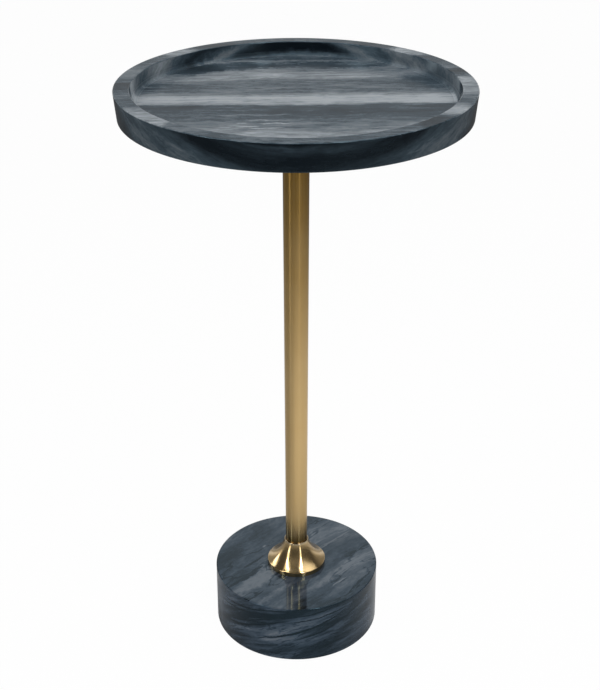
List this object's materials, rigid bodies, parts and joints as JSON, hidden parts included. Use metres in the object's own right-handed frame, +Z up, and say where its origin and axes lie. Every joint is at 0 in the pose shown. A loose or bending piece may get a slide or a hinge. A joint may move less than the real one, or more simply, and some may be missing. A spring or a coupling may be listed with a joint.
{
  "type": "wine table",
  "caption": "Small round pedestal table: dished marble tray top on a slim tapered brass post, flared brass collar and heavy cylindrical marble base.",
  "frame": {"origin": "on the floor, at the post's axis", "axes": "+Z up along the post; the table is round, so +X and +Y are free, with one pad and one plate screw on +X"},
  "size_m": [0.3048, 0.3048, 0.5455],
  "materials": {
    "tray_marble": "polished, dark blue-grey with pale bands",
    "base_marble": "polished, slate blue with dark veins",
    "satin_brass": "satin",
    "polished_brass": "polished",
    "zinc_steel": "zinc plated",
    "black_steel": "black powder coat",
    "insert_brass": "machined",
    "nylon": "natural nylon",
    "pad_rubber": "matt"
  },
  "bodies": {
    "root": {"tray_top": "tray_marble", "top_inserts": "insert_brass", "top_plate": "black_steel", "top_plate_screws": "zinc_steel", "plate_stud": "zinc_steel", "post_tube": "satin_brass", "upper_plug": "zinc_steel", "lower_plug": "zinc_steel", "flare_collar": "polished_brass", "post_seat": "nylon", "base_block": "base_marble", "base_bolt": "zinc_steel", "base_washer": "zinc_steel", "base_spring_washer": "zinc_steel", "base_pads": "pad_rubber"}
  },
  "joints": []
}
